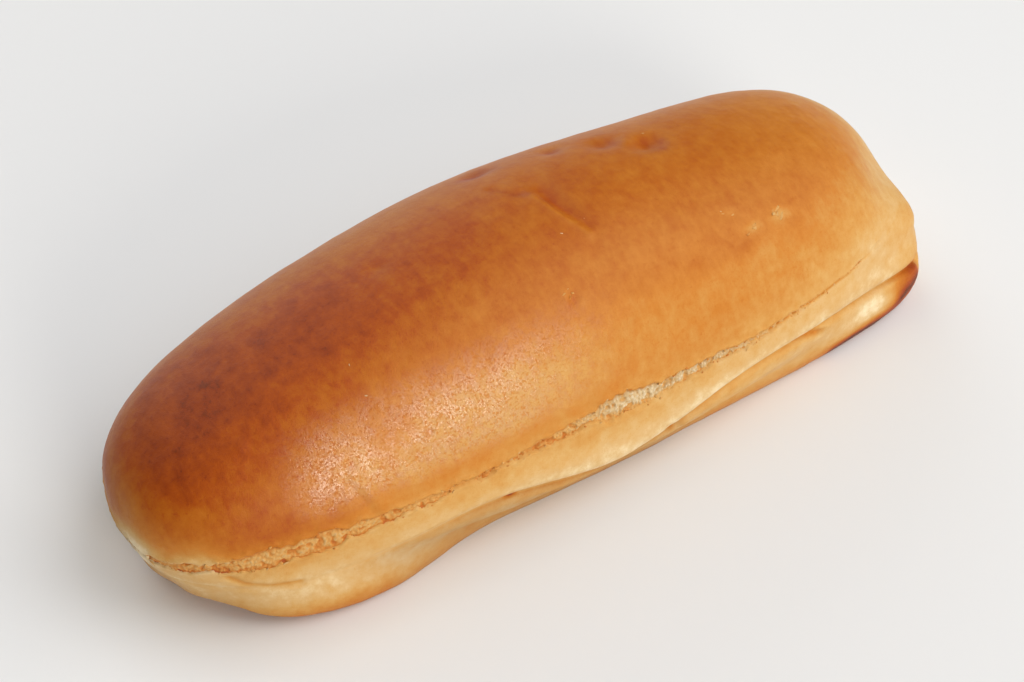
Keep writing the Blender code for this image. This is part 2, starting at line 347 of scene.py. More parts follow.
def marks_relief(points, marks):
    """Sum of soft bumps and hollows at these places."""
    total = np.zeros(points.shape[:-1])
    for x, y, z, reach_x, reach_across, rise in marks.values():
        away = (points - np.array([x, y, z]) * MM) / MM
        lengthways = (away[..., 0] / reach_x) ** 2
        across = (away[..., 1] ** 2 + away[..., 2] ** 2) / reach_across**2
        total += rise * np.exp(-lengthways - across)
    return total


print(len(SOFT_MARKS), "soft marks")

# %% Small marks that only the fine mesh can hold
SKIN_MARKS = {
    "bottom of the deep dimple": (33.8, 5.6, 44.0, 2.6, 2.4, -0.3),
    "bottom of the middle dimple": (26.8, 9.6, 44.0, 2.0, 2.4, -0.25),
    "bottom of the small dimple": (16.2, 14.0, 44.2, 1.6, 1.8, -0.3),
    "flat of the blunt end": (86, -9, 22.5, 8, 8, -0.9),
    "full corner of the blunt end": (82.7, -20.6, 16.2, 5, 4, 0.9),
    "band drawn in at the blunt end": (85, -21.5, 10.6, 4.5, 3.5, -0.9),
    "hollow over the toe": (84.5, -23.4, 6.8, 5, 1.4, -1.2),
    "underside drawn in at the dark end": (-82.5, -4, 4.5, 5, 5, -1.2),
    "dark end above the tear": (-86.3, 10, 19.5, 4, 4, -0.5),
    "dark end below the tear": (-86.6, 0.5, 13.5, 4, 2.5, -0.5),
    "hollow by the back limb": (1.5, 17.5, 44.0, 3.2, 2.2, -0.8),
    "swell between the dimples": (30.6, 7.6, 44.6, 1.5, 1.8, 0.3),
    "blister by the pale patch": (-38, -23.7, 33.3, 1.6, 1.5, 0.5),
    "pit inside that blister": (-38, -23.7, 33.3, 0.95, 0.9, -0.75),
    "pit left of the patch": (-53, -22, 33, 1.0, 1.0, -0.45),
    "burst blister": (-2.8, -19.2, 42.0, 1.3, 1.4, -0.3),
    "rim of the burst blister": (-4.4, -18.6, 42.5, 0.8, 1.2, 0.2),
    "scuff on the far flank": (45.9, -19.7, 36.7, 2.2, 1.2, -0.25),
    "second scuff": (39.0, -20.1, 37.5, 1.6, 1.0, -0.2),
    "third scuff": (35.9, -16.5, 40.2, 1.4, 1.0, -0.15),
    "rough spot on the dark end": (-67.8, -9.5, 36.5, 1.5, 1.2, 0.2),
    "dimple near the dark crest": (-29.7, 4.6, 46.4, 2.4, 2.0, -0.25),
}
print(len(SKIN_MARKS), "small marks")

# %% Corners of the lines that run over the skin, in millimetres
LINES = {
    "steep side of the deep dimple": [(36.8, 7.4, 43), (36.2, 4.6, 43.7), (34.9, 2, 44.2)],
    "steep side of the middle dimple": [(28.8, 10.4, 43.2), (28.2, 7, 44.4)],
    "steep side of the small dimple": [(17.8, 14.8, 43.7), (17.2, 12, 44.7)],
    "crease up to the scar": [(-1, 8.8, 47.5), (1.6, 4.7, 48.1), (3.4, 3.4, 48.1)],
    "scar over the crest": [(3.4, 3.4, 48.1), (4.4, -3.1, 47.8), (6.9, -10.7, 46.1)],
    "hollow beside the scar": [(5.8, 3, 48), (6.6, -3, 47.6), (8.6, -8.7, 46.7)],
    "fold of the skin": [
        (-55, -21.8, 31.3), (-53.7, -23.9, 28.1), (-52.3, -25.3, 24.8), (-50.7, -26.4, 21),
    ],
    "swell beside the fold": [(-53, -22.6, 31), (-51.6, -24.4, 28), (-50.4, -25.8, 24.5)],
    "line over the rising rim": [
        (-77, -17.8, 15.8), (-75, -19, 13.9), (-71, -20.8, 12.3), (-66, -23.1, 12),
    ],
    "slit in the band": [(-63.6, -24.2, 9.8), (-61.4, -25, 9.6)],
    "wrinkle on the ledge": [(42.8, -30.8, 14.1), (47, -30.8, 12.9), (50.8, -30.4, 11.3)],
    "nick in the foot": [(10.2, -31.8, 11.2), (12.9, -32.2, 9.6)],
    "edge of the crease by the toe": [(70, -28, 8.6), (78, -26.5, 8.4), (83, -24, 7.5)],
    "scorched edge of the toe": [(56, -28.9, 1.6), (65, -29, 2.6), (74, -28, 3.2), (81, -25, 5)],
}
print(len(LINES), "lines have corners")

# %% Lines of the skin: how far each one reaches to its sides, and its rise
SKIN_LINES = {
    "steep side of the deep dimple": (0.9, -0.12),
    "steep side of the middle dimple": (0.9, -0.1),
    "steep side of the small dimple": (0.8, -0.1),
    "crease up to the scar": (0.9, -0.35),
    "scar over the crest": (0.9, 0.34),
    "hollow beside the scar": (1.2, -0.2),
    "fold of the skin": (0.6, -0.13),
    "swell beside the fold": (1.3, 0.22),
    "line over the rising rim": (0.8, -0.3),
    "slit in the band": (0.35, -0.4),
    "wrinkle on the ledge": (0.6, -0.7),
    "nick in the foot": (0.7, -0.7),
}


def from_line(points, corners):
    """Distance in millimetres from every point to a line with these corners."""
    nearest = np.full(points.shape[:-1], np.inf)
    for start, stop in zip(np.array(corners[:-1], float), np.array(corners[1:], float)):
        run = stop - start
        share = np.clip((points / MM - start) @ run / (run @ run), 0, 1)
        away = points / MM - start - share[..., None] * run
        nearest = np.minimum(nearest, np.linalg.norm(away, axis=-1))
    return nearest


def lines_relief(points, strengths):
    """Sum of soft ridges and grooves along these lines."""
    total = np.zeros(points.shape[:-1])
    for name, (reach, rise) in strengths.items():
        total += rise * hump(from_line(points, LINES[name]), reach)
    return total


print(len(SKIN_LINES), "lines on the skin")

# %% Crease over the foot
FRONT_CREASE_DEPTHS = np.array([0.4, 0.2, 0.7, 0.9, 0.9, 0.9, 1.8]) * MM
BACK_CREASE_DEPTHS = np.array([0.4, 0.4, 0.5, 0.5, 1.8]) * MM
NOTCH_SHARE, NOTCH_REACH = 1.2, 0.85 * MM
BAND_SAG_SHARE, BAND_SAG_REACH = 0.7, 3.2 * MM


def crease_relief(above, depth):
    """Notch at the crease, with the pale band sagging out just above it."""
    notch = NOTCH_SHARE * depth * hump(above, NOTCH_REACH)
    return BAND_SAG_SHARE * depth * hump(above - BAND_SAG_REACH, BAND_SAG_REACH) - notch


print("the band sags out by up to", BAND_SAG_SHARE * FRONT_CREASE_DEPTHS.max() / MM, "mm")

# %% Edges of the tear
FRONT_TEAR_HALF_GAPS = np.array([0.7, 1.45, 0.6, 0.45, 1.7, 0.8, 0.2, 0.15, 0.0]) * MM
BACK_TEAR_HALF_GAPS = np.array([0.7, 0.7, 0.8, 0.5, 0.0]) * MM
WANDER, RAGGEDNESS = 0.35 * MM, 0.4 * MM
FRONT_DIP, FRONT_DIP_PLACE, FRONT_DIP_REACH = 1.1 * MM, 0.1, 0.1
SLIGHTEST_HALF_GAP, SLIGHTEST_GAP = 0.02 * MM, 0.12 * MM


def tear_edges(columns):
    """For each column: how far the lips stand below and above the tear line, and how open it is."""
    line = columns.points(columns.tear[None, :])[0]
    half_gap = columns.pick(FRONT_TEAR_HALF_GAPS, BACK_TEAR_HALF_GAPS)
    wander = WANDER * ripple(line, 5 * MM, 3.1)
    wander -= FRONT_DIP * hump(columns.s - FRONT_DIP_PLACE, FRONT_DIP_REACH) * columns.front
    swell = 1 + ripples(line, [(0.8, 4, 7.7), (0.5, 1.3, 9.2)])
    reach = np.maximum(half_gap * swell, SLIGHTEST_HALF_GAP)
    opened = smooth(0.05 * MM, 0.3 * MM, reach)
    ragged = [RAGGEDNESS * ripple(line, 0.9 * MM, shift) * opened for shift in (1.3, 5.9)]
    lower = wander - reach + ragged[0]
    upper = np.maximum(wander + reach + ragged[1], lower + SLIGHTEST_GAP)
    return lower, upper, opened


lower_edge, upper_edge, opened = tear_edges(columns)
print("the tear is", ((upper_edge - lower_edge).max() / MM).round(1), "mm wide where it gapes most")

# %% Groove of the tear, and its lips
TEAR_FLOOR, FULL_DEPTH_GAP = 1.0 * MM, 1.6 * MM
LIP_RISE = 0.3 * MM
WALL = 0.14 * MM


def tear_relief(above, lower, upper, opened, points):
    """Groove between the lips, which are lifted and a little flaky."""
    inside = smooth(lower - 3 * WALL, lower + 2 * WALL, above)
    inside *= smooth(upper + WALL, upper - WALL, above)
    floor = -TEAR_FLOOR * np.clip((upper - lower) / FULL_DEPTH_GAP, 0.15, 1) * inside
    floor *= smooth(WALL, 0.3 * MM, upper - lower)
    flaky = 0.75 + 0.5 * ripple(points, 1.1 * MM, 2.2)
    upper_lip = LIP_RISE * flaky * hump(above - upper - 0.55 * MM, 0.5 * MM)
    lower_lip = 0.5 * LIP_RISE * flaky * hump(above - lower + 0.5 * MM, 0.45 * MM)
    return floor + (upper_lip + lower_lip) * opened * (1 - inside)


print("its groove is", TEAR_FLOOR / MM, "mm deep")

# %% The loaf's form with its crease, its marks and its swells
SWELLS = [(0.16, 13, 0.4), (0.07, 4.5, 8.8)]


def outward_normals(grid, closed):
    """Unit normals of a grid (row, column, xyz); closed says that its columns go right round."""
    if closed:
        sideways = np.roll(grid, -1, axis=1) - np.roll(grid, 1, axis=1)
    else:
        sideways = np.gradient(grid, axis=1)
    normals = np.cross(sideways, np.gradient(grid, axis=0))
    return normals / np.maximum(np.linalg.norm(normals, axis=-1, keepdims=True), TINY * MM)


def swollen_form(columns, rows, closed):
    """Points at these rows, and their outward normals, with every relief but the tear's."""
    smooth_form = columns.points(rows)
    normals = outward_normals(smooth_form, closed)
    crease_depth = columns.pick(FRONT_CREASE_DEPTHS, BACK_CREASE_DEPTHS)
    relief = crease_relief(rows - columns.crease, crease_depth)
    relief += MM * (marks_relief(smooth_form, SOFT_MARKS) + ripples(smooth_form, SWELLS))
    relief *= smooth(0, 2 * MM, rows)
    return smooth_form + normals * relief[..., None], normals


form, form_normals = swollen_form(columns, rows, closed=True)
print("the form without its tear is", round(form[..., 2].max() / MM, 1), "mm high")

# %% The crust's finished points
GAP_AT, GAP_HALF_LENGTH, GAP_HALF_HEIGHT, GAP_DEPTH = np.array([-1.2, 3.2, 0.45, 0.9]) * MM
GRAIN = [(0.02, 1.4, 4.4)]
TORN_GRAIN, TORN_REACH = [(0.13, 0.8, 11.2)], 2.2 * MM

relief = tear_relief(above_tear, lower_edge, upper_edge, opened, form)
marks = marks_relief(form, SKIN_MARKS) + lines_relief(form, SKIN_LINES)
relief += MM * (marks + ripples(form, GRAIN))
gap_under_band = hump(form[..., 0] - GAP_AT, GAP_HALF_LENGTH) * hump(above_crease, GAP_HALF_HEIGHT)
gap_under_band *= columns.front
relief -= GAP_DEPTH * gap_under_band
half_gaps = columns.pick(FRONT_TEAR_HALF_GAPS, BACK_TEAR_HALF_GAPS)
relief += ripples(form, TORN_GRAIN) * hump(above_tear, TORN_REACH) * half_gaps
relief[0] = 0
crust_points = form + form_normals * relief[..., None]
print("relief runs from", round(relief.min() / MM, 2), "to", round(relief.max() / MM, 2), "mm")

# %% [markdown]
# ## How far each place is baked
#
# Crust colours aren't separate paints. Cream, gold, orange-brown and near-black are one scale, and
# a place moves up it with the heat that it got. So every point carries one number for its bake, and
# one ramp turns that into colour. The crown is darkest where it stood nearest the oven's heat, at
# the dark end, and the band that opened late is hardly baked at all. The same number also holds
# painted shade, darker in the dimples, a hollow, the creases, beside a fold and in the gap under
# the band, and a painted highlight, lighter along the scar over the crest.

# %% Bake stations, from the dark end to the blunt end
CREST_BAKE = np.array([0.85, 0.76, 0.68, 0.63, 0.55])
SHOULDER_BAKE = np.array([0.81, 0.62, 0.58, 0.57, 0.50])
FLANK_BAKE = np.array([0.70, 0.49, 0.43, 0.44, 0.41])
LIP_BAKE = np.array([0.34, 0.38, 0.40, 0.29, 0.19])
LIP_REACH = np.array([3.5, 2.4, 2.5, 3, 4, 4, 6, 8, 12]) * MM
BAND_BAKE = np.array([0.27, 0.29, 0.29, 0.20, 0.25])
BAND_LOW_BAKE = np.array([0.15, 0.18, 0.10, 0.11, 0.19])
FOOT_BAKE = np.array([0.18, 0.14, 0.26, 0.28, 0.27, 0.23, 0.22, 0.17, 0.22])
RIM_BAKE = np.array([0.60, 0.60, 0.42, 0.38, 0.40, 0.40, 0.46, 0.82, 0.93])
RIM_SHARE = np.array([0.85, 0.75, 0.45, 0.45, 0.32])
print("the crest is baked", CREST_BAKE[0], "at the dark end and", CREST_BAKE[-1], "at the other")

# %% Places baked more or less than what is round them, and places of painted shade and highlight
BAKE_AND_SHADE_MARKS = {
    "scorched toe": (80.5, -25.4, 6.5, 4, 4, 0.5),
    "brown patch of the toe": (75.5, -27.6, 6, 3.6, 2.8, 0.48),
    "pale patch beside it": (66, -28.7, 7.8, 5, 2.6, -0.16),
    "gold tip of the dark end": (-87, -3, 19.5, 5, 6, -0.36),
    # painted shade: the dimples are darker where their walls are in shade
    "deep dimple": (34.2, 5.8, 43.8, 2.6, 2.2, 0.12),
    "middle dimple": (26.8, 10.2, 44, 2.4, 2, 0.12),
    "small dimple": (16.4, 14, 44.2, 2, 1.7, 0.13),
    "scorched nick": (11.4, -32, 10.6, 0.8, 0.7, 0.6),
    "blotch on the far flank": (35.4, -22.1, 36.4, 2.4, 1.8, 0.09),
    "scuff": (45.9, -19.7, 36.7, 2.8, 1.2, -0.26),
    "second scuff": (39, -20.1, 37.5, 2.4, 1.0, -0.18),
    "third scuff": (35.9, -16.5, 40.2, 1.8, 1.0, -0.1),
    "streak below the scuffs": (39.1, -23.9, 34.2, 3.2, 1.1, -0.09),
    "torn edge of the burst blister": (-3.9, -18, 43, 0.8, 1.2, -0.14),
    "second torn edge": (-1.6, -20.6, 41, 0.6, 1.0, -0.1),
    "raw spot of the burst blister": (-2.8, -19.4, 42, 0.7, 0.8, 0.08),
    "pit inside the blister": (-38, -23.7, 33.3, 0.9, 0.8, 0.12),
    "pit left of the patch": (-53, -22, 33, 0.9, 0.9, 0.12),
    "raw spot below it": (-1.4, -22.8, 38.5, 0.8, 0.8, 0.08),
    # painted shade: the skin left of the fold, turned from the light, is darker
    "painted shade left of the fold": (-57.5, -23, 28, 2.0, 6, 0.06),
    # painted shade in the hollow by the back limb
    "hollow by the back limb": (1.5, 17.5, 44, 4.5, 2.6, 0.18),
    "dark end down to the tear": (-68, -19, 26, 10, 6, 0.1),
    "gold over the strip": (-81, -15, 20.5, 6, 4.2, -0.22),
}
BAKE_AND_SHADE_LINES = {
    # painted shade on the steep sides of the dimples
    "steep side of the deep dimple": (0.9, 0.07),
    "steep side of the middle dimple": (0.9, 0.05),
    "steep side of the small dimple": (0.8, 0.05),
    # painted shadow along the crease by the toe
    "edge of the crease by the toe": (0.8, 0.1),
    # painted shade in the crease up to the scar and in the hollow beside it, a painted highlight
    # along the scar
    "crease up to the scar": (0.8, 0.1),
    "scar over the crest": (0.8, -0.07),
    "hollow beside the scar": (1.5, 0.08),
    "line over the rising rim": (0.6, 0.16),
    "slit in the band": (0.45, 0.35),
    # painted shade in the wrinkle on the ledge
    "wrinkle on the ledge": (0.5, 0.25),
    "scorched edge of the toe": (1.6, 0.5),
}
print(len(BAKE_AND_SHADE_MARKS), "baked places and", len(BAKE_AND_SHADE_LINES), "baked lines")

# %% Bake of the crown, the band and the foot
FOOT_TOP_SHADE_BAKE, CREASE_SHADOW_BAKE = 0.08, 0.12


def crown_bake(s):
    """From the torn lip over the flank and the shoulder to the crest."""
    share = np.clip(above_tear / (columns.end - columns.tear), 0, 1)
    crown = blend(along(FLANK_BAKE, s), along(SHOULDER_BAKE, s), smooth(0.25, 0.5, share))
    crown = blend(crown, along(CREST_BAKE, s), smooth(0.5, 0.9, share))
    return blend(crown, along(LIP_BAKE, s), hump(above_tear, along(LIP_REACH, s)))


def band_bake(s):
    """From the crease up to the tear."""
    share = np.clip(above_crease / (columns.tear - columns.crease), 0, 1)
    return blend(along(BAND_LOW_BAKE, s), along(BAND_BAKE, s), smooth(0.1, 0.8, share))


def foot_bake(s):
    """From the rim of the sole up to the crease, with painted shade on its top and in a thin line.
    """
    share = np.clip(rows / columns.crease, 0, 1)
    foot = blend(along(RIM_BAKE, s), along(FOOT_BAKE, s), smooth(0.1, along(RIM_SHARE, s), share))
    # painted shade: the top of the foot, under the sagging band, is darker
    foot += FOOT_TOP_SHADE_BAKE * smooth(0.75, 1, share) * smooth(-0.7, -0.4, s)
    # painted shadow: a thin dark line along the crease
    crease_shadow_line = hump(above_crease + 0.2 * MM, 0.25 * MM)
    return foot + CREASE_SHADOW_BAKE * crease_shadow_line * smooth(-0.5, -0.3, s)


print("in the middle the lip is baked", LIP_BAKE[2], "and the band under it", BAND_BAKE[2])

# %% Bake of every point
THIN_LINE_BAKE, SPECK_BAKE, GAP_SHADE_BAKE, STROKE_BAKE = 0.22, 0.7, 0.6, 0.025
SPECK_PLACE, SPECK_HALF_LENGTH, SPECK_HALF_HEIGHT = np.array([-25, 1.2, 0.35]) * MM
BAKE_SWELLS = [(0.04, 11, 6.6), (0.045, 3.5, 2.9)]
STROKE_STRETCH, STROKE_SIZE = np.array([1, 0.25, 0.25]), 1.6 * MM


def crust_bake(points):
    """Bake number of each point of the crust, painted shade and highlight included."""
    s = columns.s[None, :]
    baked = blend(foot_bake(s), band_bake(s), smooth(-0.5 * MM, 0.5 * MM, above_crease))
    baked = blend(baked, crown_bake(s), smooth(-0.3 * MM, 0.3 * MM, above_tear))
    thin = smooth(0.28, 0.4, s) * smooth(0.78, 0.6, s) * columns.front
    baked += THIN_LINE_BAKE * thin * hump(above_tear - (lower_edge + upper_edge) / 2, 0.3 * MM)
    speck = hump(above_crease, SPECK_HALF_HEIGHT) * columns.front
    speck = speck * hump(points[..., 0] - SPECK_PLACE, SPECK_HALF_LENGTH)
    # painted shadow: the gap under the band is darkened as well as cut in
    baked += SPECK_BAKE * speck + GAP_SHADE_BAKE * gap_under_band + ripples(points, BAKE_SWELLS)
    strokes = ripple(points * STROKE_STRETCH, STROKE_SIZE, 5.2)
    baked += STROKE_BAKE * strokes * smooth(2 * MM, 8 * MM, above_tear)
    # these marks and lines add painted shade and a painted highlight as well as real bake
    baked += marks_relief(points, BAKE_AND_SHADE_MARKS) + lines_relief(points, BAKE_AND_SHADE_LINES)
    return np.clip(baked, 0, 1)


bake = crust_bake(form)
print("bake runs from", bake.min().round(2), "to", bake.max().round(2))

# %% Where egg wash, painted shade on the foot, and the blistered gleam lie
BETWEEN_GLEAMS, BETWEEN_REACH, BETWEEN_DIMMING = np.array([-44.5, -22, 34.5]) * MM, 4.5 * MM, 0.55

glaze = smooth(1 * MM, 6 * MM, above_tear)
# painted shade: the foot under the crease is greyed, in the middle of the bun
foot_shade = smooth(0.2 * MM, -0.6 * MM, above_crease)
foot_shade *= smooth(0.3, 0.05, columns.s) * smooth(-0.75, -0.5, columns.s)
blistered = smooth(-67 * MM, -56 * MM, form[..., 0]) * smooth(10 * MM, -26 * MM, form[..., 0])
blistered *= smooth(3 * MM, 8 * MM, above_tear) * smooth(26 * MM, 16 * MM, above_tear)
blistered *= smooth(-4 * MM, -14 * MM, form[..., 1])
from_gap = np.linalg.norm(form - BETWEEN_GLEAMS, axis=-1)
blistered *= 1 - BETWEEN_DIMMING * hump(from_gap, BETWEEN_REACH)
print("egg wash on", int((glaze > 0.5).sum()), "points, gleam on", int((blistered > 0.5).sum()))

# %% Faces of the crust, with its flat sole
def crust_faces(row_count):
    """Faces over the grid. Front and back meet on the crest line, two front columns to one."""
    column_count = 3 * BACK_COLUMNS
    index = np.arange(row_count * column_count).reshape(row_count, column_count)
    crest = index[-1]
    faces = []
    for j in range(row_count - 1):
        low, high = index[j], index[j + 1]
        for i in range(column_count):
            after = (i + 1) % column_count
            if j < row_count - 2 or i >= BACK_COLUMNS:
                faces.append((low[i], low[after], high[after], high[i]))
            else:
                over = [crest[-2 * i - k] if i or k else crest[0] for k in range(3)]
                faces.append((low[i], low[after], over[2], over[1], over[0]))
    faces.append(tuple(index[0, ::-1]))
    return faces


skin_faces = crust_faces(rows.shape[0])
print("the sole is one face with", len(skin_faces[-1]), "corners")

# %% The crust: points, faces and named values made into a mesh
def add_mesh(name, points, faces, values=()):
    """Mesh object from points and faces, with named values stored at its points."""
    used, packed = np.unique(np.concatenate(faces), return_inverse=True)
    ends = np.cumsum([len(face) for face in faces])[:-1]
    mesh = bpy.data.meshes.new(name)
    mesh.from_pydata(points[used].tolist(), [], [f.tolist() for f in np.split(packed, ends)])
    for key, value in dict(values).items():
        attribute = mesh.attributes.new(key, "FLOAT", "POINT")
        attribute.data.foreach_set("value", np.asarray(value).reshape(-1)[used].astype(np.float32))
    mesh.shade_smooth()
    piece = bpy.data.objects.new(name, mesh)
    bpy.context.collection.objects.link(piece)
    return piece


crust_values = {"bake": bake, "glaze": glaze, "blistered": blistered, "foot_shade": foot_shade}
crust = add_mesh("bun_crust", crust_points.reshape(-1, 3), skin_faces, crust_values)
print("crust mesh:", len(crust.data.polygons), "faces")

# %% [markdown]
# ## Crumb in the tear
#
# Where the side opened, soft crumb shows as small pale lumps with dark hollows between them. It is
# much finer than the crust's own grid, so it is a strip of its own that lies in the groove. Its
# edges run under the lips. Where the two uneven surfaces cross, the ragged edge comes by itself.
# Its hollows, and the gaps between its lumps, are darker on the bake scale: painted shade.

# %% Columns under the strip of crumb
CRUMB_COLUMNS, CRUMB_ROWS = 1700, 25
CRUMB_START, CRUMB_STOP = 0.995, 0.03
crumb_shares = np.linspace(CRUMB_START, CRUMB_STOP, CRUMB_COLUMNS)
crumb_columns = Columns(crumb_shares[:0], crumb_shares)
crumb_lower, crumb_upper, crumb_open = tear_edges(crumb_columns)
print("the strip of crumb has", CRUMB_ROWS, "rows and", CRUMB_COLUMNS, "columns")

# %% Strip of torn crumb
CRUMB_BAKE = np.array([0.36, 0.26, 0.33, 0.38, 0.08, 0.11, 0.27, 0.36, 0.34])
CRUMB_SINK = np.array([0.1, 0.12, 0.2, 0.35, 0.28, 0.3, 0.25, 0.25, 0.20]) * MM
CRUMB_LUMPS = np.array([0.5, 0.5, 0.6, 0.8, 1.0, 0.9, 0.7, 0.6, 0.5])
EMBED, CRUMB_THICKNESS, TUCK = 0.35 * MM, 1.5 * MM, 0.9 * MM
LOW_EDGE_DROP, HIGH_EDGE_DROP = 0.08 * MM, 0.4 * MM
LUMP_SIZE, DARK_END_CONTRAST = 0.65 * MM, 0.4


def crumb_lumps(points):
    """Cells of uneven size, 1 in their middles and lower between them."""
    jitter = 0.25 * ripple(points, 0.9 * MM, 6.1)[..., None]
    cells = (points / LUMP_SIZE + jitter).reshape(-1, 3).tolist()
    return np.array([1 - noise.voronoi(p)[0][0] for p in cells]).reshape(points.shape[:-1])


def crumb_strip():
    """Upper and lower points of the strip, and the bake of its top, with painted shade in hollows.
    """
    s = crumb_columns.s
    spread = np.linspace(0, 1, CRUMB_ROWS)[:, None]
    offsets = blend(crumb_lower - EMBED, crumb_upper + EMBED, spread)
    base, normals = swollen_form(crumb_columns, crumb_columns.tear + offsets, closed=False)
    lumps = crumb_lumps(base)
    hollows = smooth(0.1, 0.4, ripple(base, 1.2 * MM, 12.3))
    low_side, high_side = smooth(0, 0.35, spread), smooth(1, 0.75, spread)
    middle = low_side * high_side
    rise = 0.45 * (lumps - 0.5) + 0.2 * ripple(base, 0.45 * MM, 3.3) - 0.45 * hollows * middle
    rise = MM * (rise * along(CRUMB_LUMPS, s) + 0.15 * ripple(base, 2 * MM, 7.3))
    rise -= along(CRUMB_SINK, s) + LOW_EDGE_DROP * (1 - low_side) + HIGH_EDGE_DROP * (1 - high_side)
    rise = np.where(crumb_open[None, :] * high_side > 0.2, rise, -TUCK)
    # painted shade: darker in the hollows and between the lumps, more so at the dark end
    contrast = 1 + DARK_END_CONTRAST * smooth(-0.5, -0.7, s)
    baked = along(CRUMB_BAKE, s) + 0.25 * (1 - middle)
    baked = baked + contrast * (0.16 * hollows + 0.2 * (0.5 - lumps))
    return base + normals * rise[..., None], base - normals * CRUMB_THICKNESS, baked


crumb_top, crumb_bottom, crumb_baked = crumb_strip()
print("crumb bake from", crumb_baked.min().round(2), "to", crumb_baked.max().round(2))

# %% The strip closed into one mesh
UNDERSIDE_BAKE = 0.3
ring = np.concatenate([crumb_top, crumb_bottom[::-1][[0, -1]]])
ring_rows, ring_columns = ring.shape[:2]
ring_index = np.arange(ring_rows * ring_columns).reshape(ring_rows, ring_columns)
next_row = np.roll(ring_index, -1, axis=0)
crumb_faces = [
    (ring_index[j, i], ring_index[j, i + 1], next_row[j, i + 1], next_row[j, i])
    for j in range(ring_rows)
    for i in range(ring_columns - 1)
]
crumb_faces += [tuple(ring_index[:, 0]), tuple(ring_index[::-1, -1])]
crumb_values = np.concatenate([crumb_baked, np.full((2, ring_columns), UNDERSIDE_BAKE)])
crumb = add_mesh("torn_crumb", ring.reshape(-1, 3), crumb_faces, {"bake": crumb_values})
print("crumb strip:", len(crumb.data.polygons), "faces")

# %% [markdown]
# ## Flakes of crust
#
# Skin that tore left flakes on both lips, and a few more lie on the far flank where it was scuffed.
# Each one is a small flat chip with an uneven edge, set on the crust's own points and tipped at
# random. They take the bake number too, so they turn from cream to orange like everything else.
# Three tiny pale chips on the crust stand in for glints: painted highlights.

# %% Points and faces of one flake
rng = np.random.default_rng(7)
FLAKE_SIDES = 7
UPPER_RING_SHARE, PEAK_SHARE = 0.75, 0.3


def flake(centre, normal, ahead, length, width, thickness):
    """Points of one chip: its two uneven rings, the upper one smaller, and a point over each."""
    turn = np.linspace(0, 2 * np.pi, FLAKE_SIDES, endpoint=False)
    reach = 0.5 * (0.65 + 0.5 * rng.random(FLAKE_SIDES))
    lengthways = length * np.outer(np.cos(turn) * reach, ahead)
    edge = lengthways + width * np.outer(np.sin(turn) * reach, np.cross(normal, ahead))
    low, high = centre - thickness * normal, centre + thickness * normal
    bottom, peak = low - thickness * normal, high + PEAK_SHARE * thickness * normal
    return np.array([bottom, *(low + edge), *(high + UPPER_RING_SHARE * edge), peak])


def flake_faces(first):
    """Faces of one chip, whose points start at this index."""
    low, high, top = first + 1, first + 1 + FLAKE_SIDES, first + 1 + 2 * FLAKE_SIDES
    faces = []
    for k in range(FLAKE_SIDES):
        after = (k + 1) % FLAKE_SIDES
        faces.append((first, low + after, low + k))
        faces.append((low + k, low + after, high + after, high + k))
        faces.append((high + k, high + after, top))
    return faces


print("a flake has", 2 * FLAKE_SIDES + 2, "points")

# %% Laying a flake on the crust
FLAKE_TIP, FLAKE_TURN = 0.28, 0.6
flake_points, flake_shapes, flake_bakes = [], [], []


def set_flake(row, column, length, width, thickness, baked):
    """Lay one chip on the crust at this row and column."""
    after = (column + 1) % rows.shape[1]
    ahead = crust_points[row, after] - crust_points[row, column - 1]
    normal = form_normals[row, column] + FLAKE_TIP * rng.normal(size=3)
    normal /= np.linalg.norm(normal)
    ahead -= normal * (ahead @ normal)
    ahead /= np.linalg.norm(ahead)
    turn = FLAKE_TURN * rng.normal()
    ahead = ahead * np.cos(turn) + np.cross(normal, ahead) * np.sin(turn)
    points = flake(crust_points[row, column], normal, ahead, length, width, thickness)
    flake_shapes.extend(flake_faces(sum(len(p) for p in flake_points)))
    flake_points.append(points)
    flake_bakes.append(np.full(len(points), baked))


print("flakes tip by about", round(math.degrees(FLAKE_TIP)), "degrees")

# %% Flakes along the tear
FLAKE_RUNS = (  # name, from and to along the bun, how many, size in mm
    ("dark end", -0.99, -0.7, 320, 1.5),
    ("thin crack", -0.7, -0.25, 90, 0.8),
    ("open crumb", -0.25, 0.35, 110, 0.9),
    ("far line", 0.35, 0.72, 60, 0.6),
)
FLAKE_THICKNESS, FLAKE_BAKE_RANGE = 0.07 * MM, (0.18, 0.56)
for name, start, stop, count, size in FLAKE_RUNS:
    choices = np.flatnonzero(columns.front & (columns.s > start) & (columns.s < stop))
    for column in rng.choice(choices, count):
        share = rng.uniform(0, 1) if name == "dark end" else rng.integers(2)
        edge = blend(lower_edge[column], upper_edge[column], share)
        row = int(np.argmin(np.abs(above_tear[:, column] - edge - 0.3 * MM * rng.normal())))
        length = size * MM * rng.uniform(0.35, 1.2)
        width = length * rng.uniform(0.3, 0.7)
        set_flake(row, column, length, width, FLAKE_THICKNESS, rng.uniform(*FLAKE_BAKE_RANGE))
print("flakes along the tear:", len(flake_points))

